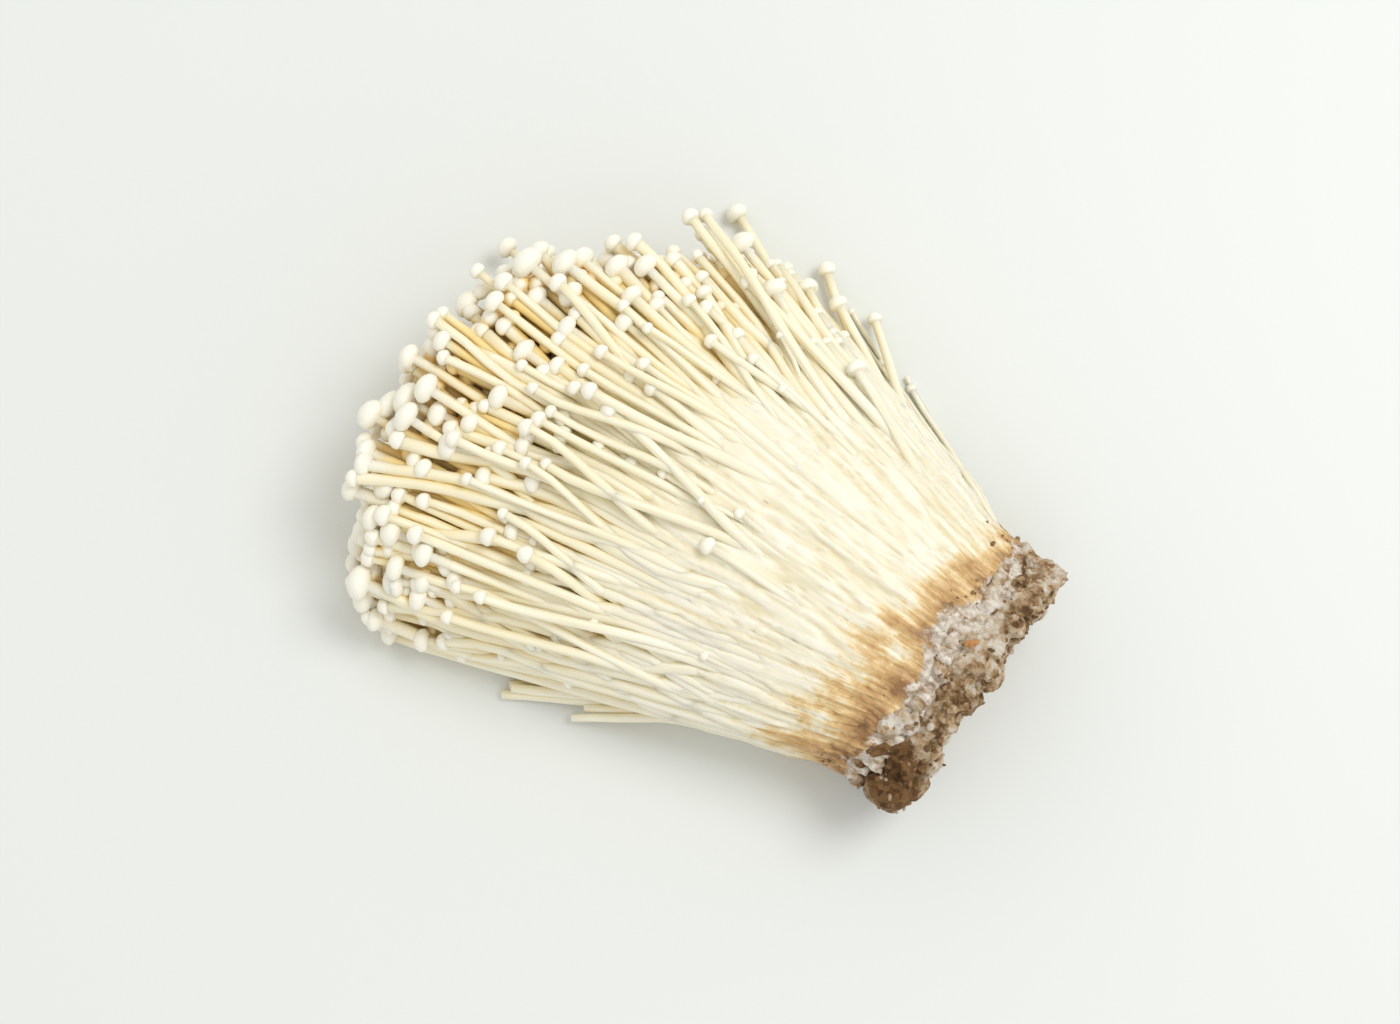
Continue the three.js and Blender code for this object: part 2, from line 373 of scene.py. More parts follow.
def strew_flakes(bm, seats, count, chance, darkest=0.0):
    for _ in range(count):
        length = chance.uniform(*CRUMB_LENGTH)
        angle, axis = chance.uniform(0, 2 * math.pi), Vector((chance.random(), chance.random(), 1))
        size = (length / 2, length * chance.uniform(0.2, 0.45), length * chance.uniform(0.15, 0.35))
        add_flake(bm, chance.choice(seats), angle, axis, size, chance.uniform(darkest, 1))


def new_flakes():
    bm = bmesh.new()
    bm.verts.layers.float.new("tone")
    return bm


def make_crumbs(plug, material):
    chance = random.Random(23)
    bm = new_flakes()
    seats = [v.co for v in plug.data.vertices]
    strew_flakes(bm, seats, CRUMB_COUNT, chance)
    from_back, aside, length = BRAN_SHARD
    spot = Vector((plug_low.x + from_back, PLUG_MIDDLE_Y + aside))
    near = [seat for seat in seats if (seat.xy - spot).length < 1 * MM]
    highest = max(near, key=lambda seat: seat.z)
    for chip in range(SHARD_CHIPS):
        shift = Vector((chance.uniform(-0.25, 0.25), chance.uniform(-0.2, 0.2), 0.05 * chip))
        length_of_chip = length * chance.uniform(0.2, 0.34)
        size = (length_of_chip, 0.6 * length_of_chip, 0.7 * length_of_chip)
        angle = chance.uniform(0, 6)
        add_flake(bm, highest + length * shift, angle, "Z", size, SHARD_SHADE + 0.03 * chip)
    finish_piece("sawdust_crumbs", mesh_of(bm, "sawdust_crumbs"), material, "substrate")


plug = make_plug()
sawdust = crumb_finish()
make_crumbs(plug, sawdust)

# ==== how the stems run =============================================================
# Every mushroom of the bunch grew from the plug, side by side with its neighbours. The
# outer ones run where their solids lie; the ones between them find their own room, each
# pushing its neighbours aside and none sinking through the surface.

STATION_STEP = 4 * MM
STATIONS = np.arange(plug_high.x - 9 * MM, cad_high.x + 3 * MM, STATION_STEP)
FILLING_COUNT = 380
SKIN_COUNT = 150  # more in each of three layers, close under the skin of the upper side
FRONT_COUNT = 84  # more that crowd their caps together at the front of the fan
STEM_RADIUS = (1.0 * MM, 1.7 * MM)
CAP_RADIUS = (1.6 * MM, 4.3 * MM)
CAP_ROOM = 0.78  # of its radius, that a cap keeps clear of its neighbours
STEM_ROOM = (0.66, 0.88)  # the same of a stem, at the plug and out in the fan
RING_GAP = 4 * MM  # the rings of corners along a CAD node lie further apart than this
CAP_WIDER = 1.3  # an end ring this much wider than the stem is a cap
FAN_FROM = plug_high.x + 60 * MM  # from here on the stems lie free of one another
FRONT = cad_high.x - 5 * MM
FRONT_FALLS = (60 * MM, 36 * MM)  # how far the front falls back per half width, on the -Y and the +Y side
SETTLING_ROUNDS = 70
LOOK_ROUND_EVERY = 12  # rounds, after which each stem finds out anew which others are near
NEAR = 8 * MM
GOLDEN_ANGLE = math.pi * (3 - math.sqrt(5))


class Mushroom:
    """One mushroom: its stem's middle at each station, its tip, and its radii, 0 for a missing cap."""

    def __init__(self, y, z, tip_x, stem, cap, node=None):
        self.y, self.z = y, z
        self.tip_x = tip_x
        self.stem, self.cap = stem, cap
        self.node = node


def mushroom_of(node):
    """The mushroom that a CAD node stands for: the middle of each of its rings, then its cap."""
    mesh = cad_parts[node].data
    corners = np.empty(3 * len(mesh.vertices))
    mesh.vertices.foreach_get("co", corners)
    corners = np.unique(corners.reshape(-1, 3).round(7), axis=0)
    corners = corners[np.argsort(corners[:, 0])]
    rings = np.split(corners, np.nonzero(np.diff(corners[:, 0]) > RING_GAP)[0] + 1)
    middles = np.array([(ring.min(axis=0) + ring.max(axis=0)) / 2 for ring in rings])
    width = np.ptp(rings[-1][:, 1:], axis=0).max() / 2
    stem = np.ptp(rings[0][:, 2]) / 2
    root_p, root_q = place_in(*middles[0])
    y, z = across(STATIONS, root_p, root_q)
    beyond = STATIONS > middles[0, 0]
    slope = (middles[-1] - middles[-2]) / (middles[-1, 0] - middles[-2, 0])
    reach = np.vstack([middles, middles[-1] + slope * 20 * MM])
    y[beyond] = np.interp(STATIONS[beyond], reach[:, 0], reach[:, 1])
    z[beyond] = np.interp(STATIONS[beyond], reach[:, 0], reach[:, 2])
    cap = width if width > CAP_WIDER * stem else 0.0
    return Mushroom(y, z, middles[-1, 0], stem, cap, node)


def reach_at(p):
    """The furthest a cap comes on each line of the fan: long in the middle, shorter to both sides."""
    return FRONT - FRONT_FALLS[0] * max(0, -0.15 - p) - FRONT_FALLS[1] * max(0, p - 0.2) ** 1.5


def grown_at(p, q, share, chance):
    """A mushroom rooted at p and q that comes this share of the way to the furthest caps there."""
    tip_x = blend(plug_low.x, reach_at(p), share)
    lean_p, lean_q = chance.gauss(0, 0.05), chance.gauss(0, 0.04)
    free = ease(STATIONS, plug_high.x + 20 * MM, FAN_FROM)
    y, z = across(STATIONS, np.clip(p + lean_p * free, -0.95, 0.95), q + lean_q * free)
    swing, phase = chance.uniform(40, 90) * MM, chance.uniform(0, 2 * math.pi)
    y = y + 0.9 * MM * free * np.sin(2 * math.pi * STATIONS / swing + phase)
    z = z + 0.5 * MM * free * np.cos(2 * math.pi * STATIONS / swing + phase)
    stem = blend(*STEM_RADIUS, chance.random() * share)
    cap = blend(*CAP_RADIUS, share**3 * chance.uniform(0.1, 1) ** 1.3)
    return Mushroom(y, z, tip_x, stem, blend(cap, 1.15 * stem, ease(-p, 0.3, 0.75)))


def filling_mushroom(index, chance):
    rim, turn = 0.93 * math.sqrt((index + 0.5) / FILLING_COUNT), index * GOLDEN_ANGLE
    share = 0.5 + 0.5 * chance.random() ** 0.4
    return grown_at(rim * math.cos(turn), rim * math.sin(turn), share, chance)


def skin_mushroom(index, chance, layer):
    turn = math.pi * (1.5 * (index + chance.random()) / SKIN_COUNT - 0.25)
    rim = chance.uniform(0.92, 0.98) - 0.12 * layer
    share = 0.62 + 0.38 * chance.random() ** 0.5
    return grown_at(rim * math.cos(turn), rim * math.sin(turn), share, chance)


def front_mushroom(chance):
    turn, rim = math.pi * chance.uniform(0.1, 0.68), chance.uniform(0.45, 0.97)
    share = chance.uniform(0.86, 1) - 0.07 * rim * math.sin(turn)
    mushroom = grown_at(rim * math.cos(turn), rim * math.sin(turn), share, chance)
    mushroom.cap = max(mushroom.cap, chance.uniform(1.7, 2.8) * MM)
    return mushroom


def pairs_within(y, z, alive, distance):
    """Every two stems that come this near in a station's plane, as places in the flattened grids."""
    near = np.abs(y[:, :, None] - y[:, None, :]) < distance
    near &= np.abs(z[:, :, None] - z[:, None, :]) < distance
    near &= alive[:, :, None] & alive[:, None, :]
    station, first, second = np.nonzero(np.triu(near, 1))
    return station * y.shape[1] + first, station * y.shape[1] + second


def smoothings(turn, rounds):
    """How often stems are smoothed in this round: none in the last few but three times at the very end."""
    if turn == rounds - 1:
        return 3
    return 1 if turn < rounds - 4 else 0


def settle(mushrooms, rounds=SETTLING_ROUNDS):
    """Pushes crowded stems and caps apart in every station's plane, keeping each stem smooth.

    The rows of every grid are stations and its columns are mushrooms. Those that stand for CAD
    nodes stay where they are.
    """
    y = np.array([m.y for m in mushrooms]).T
    z = np.array([m.z for m in mushrooms]).T
    tips = np.array([m.tip_x for m in mushrooms])
    stems = np.array([m.stem for m in mushrooms])
    caps = np.array([m.cap for m in mushrooms])
    free = np.tile([m.node is None for m in mushrooms], (len(STATIONS), 1)).ravel()
    at_cap = np.abs(STATIONS[:, None] - tips) < 0.6 * caps + STATION_STEP / 2
    crowded = blend(*STEM_ROOM, ease(STATIONS, plug_high.x, FAN_FROM))[:, None]
    radius = np.where(at_cap, np.maximum(CAP_ROOM * caps, stems), crowded * stems)
    alive = STATIONS[:, None] < tips + 0.8 * caps + STATION_STEP / 2
    wanted_y, wanted_z = y.copy(), z.copy()
    x = STATIONS[:, None]
    widest = blend(0.96, 1.07, ease(x, plug_high.x, FAN_FROM))
    for turn in range(rounds):
        if turn % LOOK_ROUND_EVERY == 0:
            first, second = pairs_within(y, z, alive, NEAR)
            room = radius.ravel()[first] + radius.ravel()[second]
            yields = 0.7 / np.maximum(1, free[first].astype(int) + free[second])
        away_y = y.ravel()[second] - y.ravel()[first]
        away_z = z.ravel()[second] - z.ravel()[first]
        gap = np.hypot(away_y, away_z) + 1e-7
        push = yields * np.maximum(0, room - gap) / gap
        for line, away in ((y, away_y), (z, away_z)):
            moved = np.bincount(second, push * away * free[second], line.size)
            moved -= np.bincount(first, push * away * free[first], line.size)
            line += moved.reshape(line.shape)
        for line, wanted in ((y, wanted_y), (z, wanted_z)):
            aside = line - wanted
            for _ in range(smoothings(turn, rounds)):
                aside[1:-1] = (aside[:-2] + 2 * aside[1:-1] + aside[2:]) / 4
            line[:] = np.where(free.reshape(line.shape), wanted + aside, line)
        p, q = place_in(x, y, z)
        outside = np.maximum(np.maximum(np.hypot(p, q) / widest, np.abs(p)), 1)
        kept_y, kept_z = across(x, p / outside, q / outside)
        y[:] = np.where(free.reshape(y.shape), kept_y, y)
        z[:] = np.where(free.reshape(z.shape), np.maximum(kept_z, radius), z)
    for index, mushroom in enumerate(mushrooms):
        mushroom.y, mushroom.z = y[:, index], z[:, index]


chance = random.Random(5)
outer = [mushroom_of(n) for n in sorted(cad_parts) if n.startswith("mushroom_")]
strays = [mushroom_of(n) for n in sorted(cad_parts) if n.startswith("stray_")]
cut_stems = [mushroom_of(n) for n in sorted(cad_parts) if n.startswith("cut_stem_")]
filling = [filling_mushroom(index, chance) for index in range(FILLING_COUNT)]
filling += [skin_mushroom(index, chance, layer) for layer in range(3) for index in range(SKIN_COUNT)]
filling += [front_mushroom(chance) for _ in range(FRONT_COUNT)]
settle(outer + strays + cut_stems + filling)

# ==== the fused stem bases ==========================================================
# Low down the stems are grown together into one firm, furrowed white mass. Each furrow is
# the line between two stems, and it fades out where they part. Beside the plug the mass is
# stained tan, with crumbs of sawdust caught in the furrows.

BASE_GRAIN = 0.64 * MM
CORE_OVERLAP = 6 * MM  # how far the mass reaches into the plug
SHELL_DEPTH = 8 * MM  # stems rooted deeper than this never show in the fused mass
CAUGHT_COUNT = 90
CAUGHT_FROM = plug_high.x - 4 * MM
PARTING = 30 * MM  # from the plug to where the stems part at the sides of the bunch
PARTING_ON_TOP = 44 * MM  # more than that in the middle of the upper side
BASE_CORE_SIZE = 0.88
OUTWARD = np.radians([0, 30, 60, 90, 120, 150, 180])  # directions round the bunch, from +Y over the top
STRIPS = 240  # of 1 mm, side by side across each direction
FULL_SHADE_DEPTH = (5.5 * MM, 3 * MM)  # how far under the skin the painted shade turns the flesh fully golden: at the plug, at the front
FIBRES = (60, 28, 20)  # how fine the fibres are along the bunch, across it and upwards
STAIN_LENGTH = (11 * MM, 27 * MM)  # up from the plug, on the -Y and the +Y side
FELT_TONGUE = (-0.12, 0.22, 4.5 * MM)  # a tongue of felt up the mass: its p, its half width and its length


def parting_of(mushroom, chance):
    """Where a stem leaves the fused mass."""
    p, q = place_in(STATIONS[0], mushroom.y[0], mushroom.z[0])
    on_top = max(0, q) * max(0, 1 - p * p)
    return plug_high.x + PARTING + PARTING_ON_TOP * on_top + chance.uniform(-12, 10) * MM


def depth_of(mushroom):
    """How far within the bunch a stem is rooted."""
    p, q = place_in(STATIONS[0], mushroom.y[0], mushroom.z[0])
    return (1 - math.hypot(p, q)) * PLUG_HALF_HEIGHT


def line_of(mushroom, start, end, step):
    """The middle of the stem from one X to another, as smooth evenly spaced points."""
    x = np.linspace(start, end, max(4, int((end - start) / step)))
    soft = np.array([0.25, 0.5, 0.25])
    rows = []
    for line in (mushroom.y, mushroom.z):
        padded = np.concatenate([line[:1], line, line[-1:]])
        rows.append(np.interp(x, STATIONS, np.convolve(padded, soft, "valid")))
    return np.column_stack([x, *rows])


def bend(corners, line):
    """Corners of an upright shape, moved so that its axis follows the line from its first point."""
    steps = np.linalg.norm(np.diff(line, axis=0), axis=1)
    along = np.concatenate([[0], np.cumsum(steps)])
    heading = np.gradient(line, along, axis=0)
    height = corners[:, 2]
    on_line = np.column_stack([np.interp(height, along, line[:, k]) for k in range(3)])
    facing = np.column_stack([np.interp(height, along, heading[:, k]) for k in range(3)])
    facing /= np.linalg.norm(facing, axis=1)[:, None]
    on_line += np.maximum(0, height - along[-1])[:, None] * facing
    on_line += np.minimum(0, height)[:, None] * facing
    aside = np.cross([0, 0, 1], facing)
    aside /= np.linalg.norm(aside, axis=1)[:, None]
    upward = np.cross(facing, aside)
    return on_line + corners[:, :1] * aside + corners[:, 1:2] * upward


def spun(outline, sides):
    """A closed upright body in a bmesh of its own, from half its outline as (radius, height)."""
    bm = bmesh.new()
    rim = [bm.verts.new((radius, 0, height)) for radius, height in outline]
    edges = [bm.edges.new(pair) for pair in zip(rim, rim[1:])]
    bmesh.ops.spin(
        bm, geom=rim + edges, cent=(0, 0, 0), axis=(0, 0, 1), angle=2 * math.pi,
        steps=sides, use_merge=True,
    )
    bmesh.ops.remove_doubles(bm, verts=bm.verts, dist=0.002 * MM)
    bmesh.ops.recalc_face_normals(bm, faces=bm.faces)
    return bm


def corners_of(bm):
    return np.array([v.co for v in bm.verts])


def move_corners(bm, places):
    for v, place in zip(bm.verts, places):
        v.co = place


def gather(bundle, single):
    """Adds a mesh to the bundle; the mesh itself is done with."""
    bundle.from_mesh(single)
    bpy.data.meshes.remove(single)


def base_outline(length, radius, chance):
    """Half the outline of one stem's share of the mass: widest midway, sunk into the stem at its end."""
    outline = [(0, 0)]
    for share in np.linspace(0, 1, 12):
        swelling = blend(1.0, 1.5, ease(share, 0, 0.35)) * blend(1, 0.6, ease(share, 0.5, 1))
        outline.append((radius * swelling * chance.uniform(0.95, 1.05), length * share))
    return [*outline, (0, length)]


def furrow_at(place):
    """How deep the furrow between two stems is, from 0 to 1: long lines that spread as the fan does."""
    p, q = place_in(*place)
    line = noise.noise(Vector((place.x / (26 * MM), 17 * p, 11 * q)))
    fine = noise.noise(Vector((place.x / (11 * MM), 31 * p, 20 * q)))
    return min(1, max(0, 1.2 - 5 * abs(line))) * 0.6 + min(1, max(0, 0.9 - 4 * abs(fine))) * 0.4


def make_bases(mushrooms, chance):
    bm = bmesh.new()
    drum(bm, plug_high.x - CORE_OVERLAP, plug_high.x + PARTING, BASE_CORE_SIZE, rings=8)
    for mushroom in mushrooms:
        if mushroom.depth > SHELL_DEPTH:
            continue
        start, end = plug_high.x - chance.uniform(5, 10) * MM, mushroom.parting + 6 * MM
        line = line_of(mushroom, start, end, 4 * MM)
        base = spun(base_outline(end - start, mushroom.stem, chance), 8)
        move_corners(base, bend(corners_of(base), line))
        gather(bm, mesh_of(base, "single"))
    skin = grown_together(bm, BASE_GRAIN, 3)

    def fibrous(place):
        near_plug = 1 - ease(place.x, plug_high.x - 3 * MM, plug_high.x + 7 * MM)
        ragged = noise.fractal(place / (2.2 * MM), 1.0, 2.0, 2)
        lumpy = noise.noise(place / (5 * MM))
        return MM * (0.25 * lumpy - 0.9 * furrow_at(place) + 0.7 * near_plug * ragged)

    # the furrows' depth, kept for painting them darker as painted shade
    furrow_shade = [furrow_at(v.co) for v in skin.vertices]
    roughen(skin, fibrous)
    set_attribute(skin, "furrow", "FLOAT", furrow_shade)
    return skin


def flesh_finish(name, cream, shaded, deep):
    """Moist translucent flesh: lengthwise fibres, whitest at the root, and a painted golden shade that
    grows towards the middle of the bunch, where light falls dim and warm through the stems.
    """
    material, nodes, shader = new_finish(name)
    fibres = attribute(nodes, "fibres", "Vector")
    inner_shade = attribute(nodes, "inner_shade")
    tone = attribute(nodes, "tone")
    streaks = mottle(nodes, fibres, 1.0, 3.0)
    colour = tint(nodes, between(nodes, streaks, 0.38, 0.62), cream, shaded)
    colour = tint(nodes, between(nodes, tone, 0.3, 1.4), colour, shaded)
    rooted = attribute(nodes, "rooted")
    pale = tint(nodes, between(nodes, streaks, 0.4, 0.7), paint(245, 240, 221), paint(234, 226, 197))
    colour = tint(nodes, rooted, colour, pale)
    # painted shade: the flesh turns golden the further it lies under the bunch's skin
    colour = tint(nodes, between(nodes, inner_shade, 0.04, 0.42), colour, deep)
    return material, nodes, shader, colour, streaks


def moisten(nodes, shader, colour, streaks):
    link(colour, shader, "Base Color")
    shader.inputs["Roughness"].default_value = 0.42
    shader.inputs["Subsurface Weight"].default_value = 0.3
    shader.inputs["Subsurface Radius"].default_value = (1.0, 0.95, 0.88)
    shader.inputs["Subsurface Scale"].default_value = 1.2 * MM
    bump(nodes, shader, streaks, 0.12 * MM)


def base_finish():
    """Creamy white, stained tan and brown beside the plug, more so on the +Y side; the darker furrows and
    the golden flesh under the skin are painted shade.
    """
    # the third colour is the painted golden shade under the bunch's skin
    material, nodes, shader, colour, streaks = flesh_finish(
        "firm_flesh", paint(246, 241, 221), paint(240, 231, 202), paint(243, 220, 155)
    )
    furrow = attribute(nodes, "furrow")
    # painted shade: the furrows are painted a darker cream
    colour = tint(nodes, between(nodes, furrow, 0.2, 1.2), colour, paint(226, 211, 164))
    stain = attribute(nodes, "stain")
    fibres = attribute(nodes, "fibres", "Vector")
    where = own_place(nodes)
    uneven = plus(nodes, mottle(nodes, fibres, 1.2, 5.0, 0.7), mottle(nodes, where, 210.0, 4.0), 0.7)
    streaky = plus(nodes, plus(nodes, stain, 1.0, -2.25), uneven, 2.2)
    colour = tint(nodes, between(nodes, streaky, 0.05, 0.45), colour, paint(233, 207, 152))
    colour = tint(nodes, between(nodes, streaky, 0.35, 0.8), colour, paint(204, 165, 108))
    colour = tint(nodes, between(nodes, streaky, 0.85, 1.35), colour, paint(152, 111, 66))
    specks = plus(nodes, mottle(nodes, where, 420.0, 5.0, 0.7), stain, 0.17)
    colour = tint(nodes, between(nodes, specks, 0.84, 0.96), colour, paint(124, 92, 58))
    near = attribute(nodes, "near")
    felted = plus(nodes, mottle(nodes, where, 330.0, 5.0, 0.7), near, 0.5)
    mottled = between(nodes, mottle(nodes, where, 480.0, 5.0, 0.7), 0.36, 0.6)
    felt = tint(nodes, mottled, paint(146, 120, 88), paint(226, 218, 204))
    colour = tint(nodes, between(nodes, felted, 0.84, 0.96), colour, felt)
    moisten(nodes, shader, colour, streaks)
    return material


def places_of(mesh):
    places = np.empty(3 * len(mesh.vertices))
    mesh.vertices.foreach_get("co", places)
    return places.reshape(-1, 3)


def outer_skin(mushrooms):
    """How far out the bunch comes at each station, in each direction round it, strip by strip."""
    reach = np.zeros((len(OUTWARD), len(STATIONS), STRIPS))
    stations = np.arange(len(STATIONS))
    for direction, turn in enumerate(OUTWARD):
        for mushroom in mushrooms:
            alive = STATIONS < mushroom.tip_x
            strip = strip_at(mushroom.y, mushroom.z, turn)[alive]
            out = mushroom.y * math.cos(turn) + mushroom.z * math.sin(turn) + mushroom.stem
            here = reach[direction]
            np.maximum.at(here, (stations[alive], strip), out[alive])
    bridged = [np.roll(reach, shift, axis=2) for shift in (-2, -1, 0, 1, 2)]
    return np.max(bridged, axis=0)


def strip_at(y, z, turn):
    """Which strip a place falls in, seen along a direction."""
    aside = z * math.cos(turn) - y * math.sin(turn)
    return np.clip(np.round(aside / MM).astype(int) + STRIPS // 2, 0, STRIPS - 1)


def inner_shade_at(places):
    """How far a point lies under the bunch's skin, for the painted golden shade: 0 at its skin, 1 from a
    set depth down.
    """
    x, y, z = places.T
    station = np.clip(np.round((x - STATIONS[0]) / STATION_STEP).astype(int), 0, len(STATIONS) - 1)
    depth = 0.8 * (np.array([reach_at(side) for side in place_in(x, y, z)[0]]) - x)
    for direction, turn in enumerate(OUTWARD):
        out = skin_reach[direction, station, strip_at(y, z, turn)]
        depth = np.minimum(depth, out - y * math.cos(turn) - z * math.sin(turn))
    forward = ease(x, cad_high.x - 55 * MM, cad_high.x - 15 * MM)
    return np.clip(depth / blend(*FULL_SHADE_DEPTH, forward), 0, 1)


def rooted_at(x):
    """1 in the fused mass, fading to 0 out along the stems."""
    return 1 - ease(x, plug_high.x + PARTING - 10 * MM, plug_high.x + PARTING + 60 * MM)


def finish_bases(skin):
    places = places_of(skin)
    x, y, z = places.T
    p, q = place_in(x, y, z)
    set_attribute(skin, "fibres", "FLOAT_VECTOR", np.column_stack([x, p, q]) * FIBRES)
    # painted shade: golden where the fused mass lies under other stems
    buried_shade = ease(inner_shade_at(places), 0.25, 1) * ease(x, plug_high.x, plug_high.x + 40 * MM)
    set_attribute(skin, "inner_shade", "FLOAT", 0.8 * buried_shade)
    set_attribute(skin, "tone", "FLOAT", 0 * x)
    set_attribute(skin, "rooted", "FLOAT", 0.9 * rooted_at(x))
    uneven = np.array([noise.noise(Vector((8 * side, 5 * up, 0.5))) for side, up in zip(p, q)])
    patchy = np.array([noise.noise(Vector(place) / (6 * MM)) for place in places * [0.6, 1, 1]])
    stained = blend(*STAIN_LENGTH, ease(p, -0.5, 0.4)) * (1 + 0.55 * uneven)
    fading = 1 - ease(x, plug_high.x - 4 * MM, plug_high.x + stained)
    tongue_p, tongue_width, tongue_length = FELT_TONGUE
    tongue = tongue_length * np.exp(-(((p - tongue_p) / tongue_width) ** 2))
    felt_edge = plug_high.x + tongue + (3 * patchy - 2.5) * MM
    set_attribute(skin, "near", "FLOAT", 1 - ease(x, felt_edge - 3 * MM, felt_edge + 3 * MM))
    set_attribute(skin, "stain", "FLOAT", fading * np.clip(1.4 + 1.2 * patchy, 0.6, 1.8))
    return finish_piece("fused_bases", skin, base_finish(), "fused_flesh", "fused_stem_clump")


def catch_crumbs(bases, material):
    """Grains of sawdust caught on the mass, most of them close to the plug."""
    chance = random.Random(41)
    bm = new_flakes()
    places = [v.co for v in bases.data.vertices]
    near = [c for c in places if 0 < c.x - CAUGHT_FROM < 10 * MM * chance.random() ** 3]
    strew_flakes(bm, near, CAUGHT_COUNT, chance, darkest=0.35)
    finish_piece("caught_crumbs", mesh_of(bm, "caught_crumbs"), material, "substrate")


everything = outer + strays + cut_stems + filling
for mushroom in everything:
    mushroom.parting = parting_of(mushroom, chance)
    mushroom.depth = depth_of(mushroom)
skin_reach = outer_skin(everything)
bases = finish_bases(make_bases(everything, chance))
catch_crumbs(bases, sawdust)

# ==== the mushrooms =================================================================
# Each mushroom is a slim, slightly wavy stem with a small domed cap, its rim rolled in over
# short gills. Stem and cap grew as one body. The ones round the outside are pieces of their
# own; the ones between them are gathered in tufts.

ROOT_HIDDEN = 12 * MM  # how far each stem runs on inside the fused mass
SIDES = 12
RING_STEP = 4.5 * MM
NOD = 0.5  # radians that a cap may bend over by, on the last of its stem
NOD_LENGTH = 7 * MM
TUFT_SIZE = 32


def mushroom_outline(length, stem, cap, chance, ring_step=RING_STEP):
    """Half the outline of a straight mushroom: cut root, stem, gills, rolled rim and dome."""
    roundness = ease(cap, 3.2 * MM, 1.6 * MM)
    dome = blend(0.74, 1.0, roundness) * chance.uniform(0.88, 1.1)
    under = blend(0.55, 0.8, roundness)
    neck = length - 0.85 * under * cap
    outline = [(0, 0)]
    for share in np.linspace(0, 1, max(4, int(length / ring_step))):
        slimming = blend(1.12, 0.92, ease(share, 0, 0.9)) * blend(0.3, 1, ease(neck * share, 0, 9 * MM))
        outline.append((stem * slimming * chance.uniform(0.95, 1.05), neck * share))
    if not cap:
        return [*outline, (0.8 * stem, length + 0.1 * stem), (0, length)]
    rim = [
        (cap * math.cos(turn), under * cap * math.sin(turn)) for turn in np.radians([-50, -30, -11])
    ]
    crown = [
        (cap * math.cos(turn), dome * cap * math.sin(turn)) for turn in np.radians([10, 32, 54, 74])
    ]
    return [*outline, *((r, length + h) for r, h in (*rim, *crown, (0, dome * cap)))]


def nodding(line, angle, heading):
    """The line with its last stretch bent over by an angle, towards a heading round it."""
    steps = np.diff(line, axis=0)
    lengths = np.linalg.norm(steps, axis=1)
    left = np.cumsum(lengths[::-1])[::-1]
    turns = angle * np.clip(1 - left / NOD_LENGTH, 0, 1) ** 1.5
    facing = steps / lengths[:, None]
    aside = np.cross([0, 0, 1], facing)
    aside /= np.linalg.norm(aside, axis=1)[:, None]
    sideways = math.cos(heading) * aside + math.sin(heading) * np.cross(facing, aside)
    facing = facing * np.cos(turns)[:, None] + sideways * np.sin(turns)[:, None]
    return np.vstack([line[:1], line[0] + np.cumsum(facing * lengths[:, None], axis=0)])


def shape_mushroom(mushroom, bundle, chance, sides=SIDES, ring_step=RING_STEP):
    """Adds one mushroom to the bundle, with its fibres and tone for the finish."""
    start = mushroom.parting - ROOT_HIDDEN
    line = line_of(mushroom, start, mushroom.tip_x, 1.5 * MM)
    line = nodding(line, NOD * chance.random() ** 1.5, chance.uniform(0, 2 * math.pi))
    length = np.linalg.norm(np.diff(line, axis=0), axis=1).sum()
    bm = spun(mushroom_outline(length, mushroom.stem, mushroom.cap, chance, ring_step), sides)
    straight = corners_of(bm)
    on_cap = straight[:, 2] > length - 0.5 * mushroom.cap
    oval, turn = chance.uniform(0.86, 1.1), chance.uniform(0, math.pi)
    rolled = np.column_stack([
        math.cos(turn) * straight[:, 0] + math.sin(turn) * straight[:, 1],
        oval * (math.cos(turn) * straight[:, 1] - math.sin(turn) * straight[:, 0]),
        straight[:, 2],
    ])
    placed = bend(rolled, line)
    placed[:, 2] = np.maximum(placed[:, 2], 0)
    move_corners(bm, placed)
    single = mesh_of(bm, "single")
    shift = np.array([chance.uniform(0, 50), chance.uniform(0, 50), chance.uniform(0, 50)])
    fibres = np.where(on_cap[:, None], straight * [900, 900, 900], straight * [1400, 1400, 45])
    set_attribute(single, "fibres", "FLOAT_VECTOR", fibres + shift)
    set_attribute(single, "tone", "FLOAT", np.full(len(straight), chance.random()))
    places = places_of(single)
    rooted = 0.9 * rooted_at(places[:, 0])
    # painted shade: the lower sides and undersides of a cap are painted golden, below the height where its
    # stem ends
    tucked_shade = on_cap * np.clip((line[-1, 2] - places[:, 2]) / max(mushroom.cap, 1 * MM), 0, 1)
    inner_shade = np.maximum(inner_shade_at(places), 0.6 * tucked_shade)
    set_attribute(single, "inner_shade", "FLOAT", inner_shade * (1 - 0.7 * rooted))
    set_attribute(single, "rooted", "FLOAT", rooted)
    set_attribute(single, "cap", "FLOAT", on_cap.astype(float))
    gather(bundle, single)


def mushroom_finish():
    # the third colour is the painted golden shade under the bunch's skin
    material, nodes, shader, colour, streaks = flesh_finish(
        "moist_flesh", paint(250, 245, 223), paint(246, 235, 200), paint(243, 218, 150)
    )
    cap = attribute(nodes, "cap")
    inner_shade = attribute(nodes, "inner_shade")
    # painted shade on the caps: golden where they lie under others and on their undersides
    skin = tint(nodes, between(nodes, inner_shade, 0.02, 0.6), paint(253, 248, 231), paint(250, 220, 152))
    colour = tint(nodes, cap, colour, skin)
    moisten(nodes, shader, colour, streaks)
    return material


flesh = mushroom_finish()


